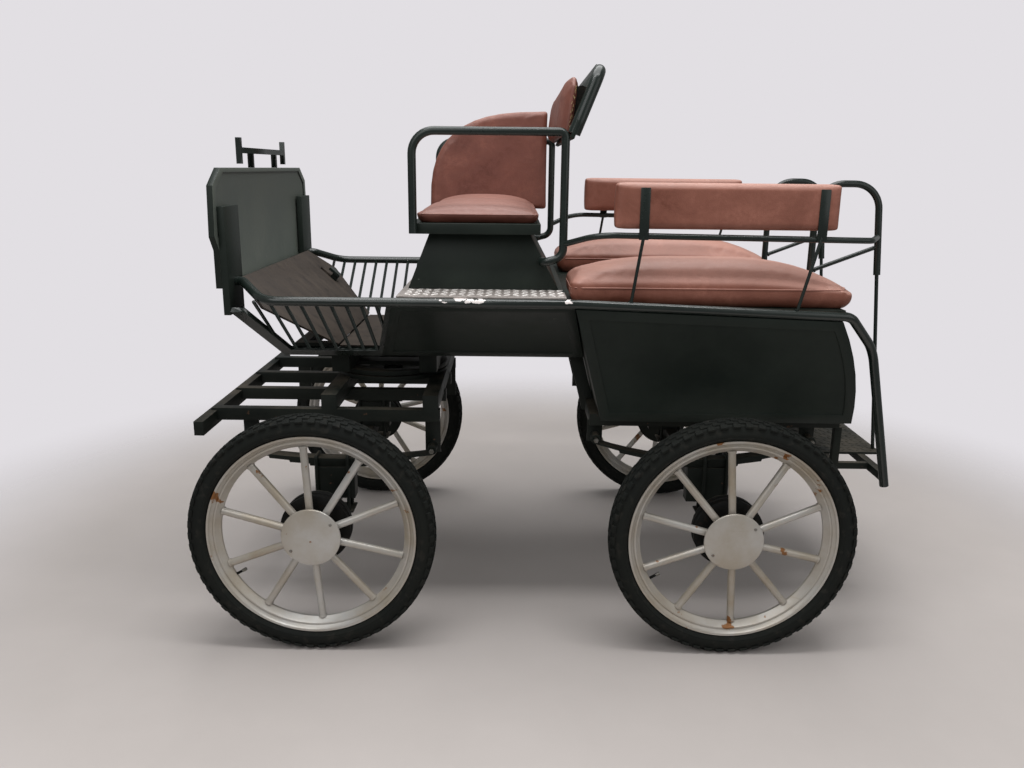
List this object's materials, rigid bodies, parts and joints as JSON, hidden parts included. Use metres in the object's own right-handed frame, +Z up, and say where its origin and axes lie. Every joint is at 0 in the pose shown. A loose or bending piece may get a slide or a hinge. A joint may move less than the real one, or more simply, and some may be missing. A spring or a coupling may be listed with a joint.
{
  "type": "horse drawn carriage",
  "caption": "Four-wheeled steel wagonette with a flared front footwell, raised driver's seat, two facing rear benches, sprung axles and a steering forecarriage.",
  "frame": {"origin": "centre of the overall footprint, on the floor under the tyres", "axes": "+X forward towards the horse, +Y to the carriage's left, +Z up"},
  "size_m": [2.252, 1.426, 1.7581],
  "materials": {
    "green_paint": "dark green gloss paint, dusty and worn",
    "black_tube": "near-black green gloss paint with chips",
    "silver_paint": "silver-grey paint with rust stains",
    "tyre_rubber": "dusty block-tread rubber",
    "brown_leather": "red-brown grained upholstery, creased",
    "floor_board": "brown-grey scuffed boards",
    "tread_plate": "raised-pattern tread plate"
  },
  "bodies": {
    "body": {"chassis_frame": "black_tube", "turntable_upper": "black_tube", "front_floor": "floor_board", "footboard": "floor_board", "brake_pedal": "black_tube", "dash_board": "green_paint", "dash_cheek_left": "green_paint", "dash_cheek_right": "green_paint", "rein_rail": "black_tube", "top_rail_left": "black_tube", "top_rail_right": "black_tube", "basket_left": "black_tube", "basket_right": "black_tube", "front_side_left": "green_paint", "front_side_right": "green_paint", "seat_riser": "green_paint", "tread_deck": "tread_plate", "seat_box": "green_paint", "seat_pan": "green_paint", "seat_cushion_left": "brown_leather", "seat_cushion_right": "brown_leather", "seat_arm_left": "black_tube", "seat_arm_right": "black_tube", "seat_back_shell": "green_paint", "seat_back_pad": "brown_leather", "seat_side_pad": "brown_leather", "bulkhead": "green_paint", "rear_side_left": "green_paint", "rear_side_right": "green_paint", "rear_floor": "floor_board", "rear_corner_left": "green_paint", "rear_corner_right": "green_paint", "bench_board_left": "green_paint", "bench_board_right": "green_paint", "bench_cushion_left": "brown_leather", "bench_cushion_right": "brown_leather", "bench_back_left": "brown_leather", "bench_back_right": "brown_leather", "bench_rail_left": "black_tube", "bench_rail_right": "black_tube", "rear_step": "tread_plate", "rear_spring_left": "black_tube", "rear_spring_right": "black_tube", "rear_axle": "black_tube"},
    "forecarriage": {"forecarriage_frame": "green_paint", "front_spring_left": "black_tube", "front_spring_right": "black_tube", "front_axle": "black_tube"},
    "door": {"rear_door": "green_paint"},
    "front_left_wheel_and_tyre": {"front_left_wheel": "silver_paint", "front_left_tyre": "tyre_rubber"},
    "front_right_wheel_and_tyre": {"front_right_wheel": "silver_paint", "front_right_tyre": "tyre_rubber"},
    "rear_left_wheel_and_tyre": {"rear_left_wheel": "silver_paint", "rear_left_tyre": "tyre_rubber"},
    "rear_right_wheel_and_tyre": {"rear_right_wheel": "silver_paint", "rear_right_tyre": "tyre_rubber"}
  },
  "joints": [
    {"name": "steering", "type": "hinge", "parent": "body", "child": "forecarriage", "pos_m": [0.576, 0, 0.75], "axis": [0, 0, 1], "range_deg": [-45, 45]},
    {"name": "rear_door_hinge", "type": "hinge", "parent": "body", "child": "door", "pos_m": [-0.9533, 0.225, 0.86], "axis": [0, 0, -1], "range_deg": [0, 95]},
    {"name": "front_left_wheel_spin", "type": "hinge", "parent": "forecarriage", "child": "front_left_wheel_and_tyre", "pos_m": [0.736, 0.665, 0.375], "axis": [0, 1, 0], "continuous": true},
    {"name": "front_right_wheel_spin", "type": "hinge", "parent": "forecarriage", "child": "front_right_wheel_and_tyre", "pos_m": [0.736, -0.665, 0.375], "axis": [0, 1, 0], "continuous": true},
    {"name": "rear_left_wheel_spin", "type": "hinge", "parent": "body", "child": "rear_left_wheel_and_tyre", "pos_m": [-0.536, 0.665, 0.375], "axis": [0, 1, 0], "continuous": true},
    {"name": "rear_right_wheel_spin", "type": "hinge", "parent": "body", "child": "rear_right_wheel_and_tyre", "pos_m": [-0.536, -0.665, 0.375], "axis": [0, 1, 0], "continuous": true}
  ]
}
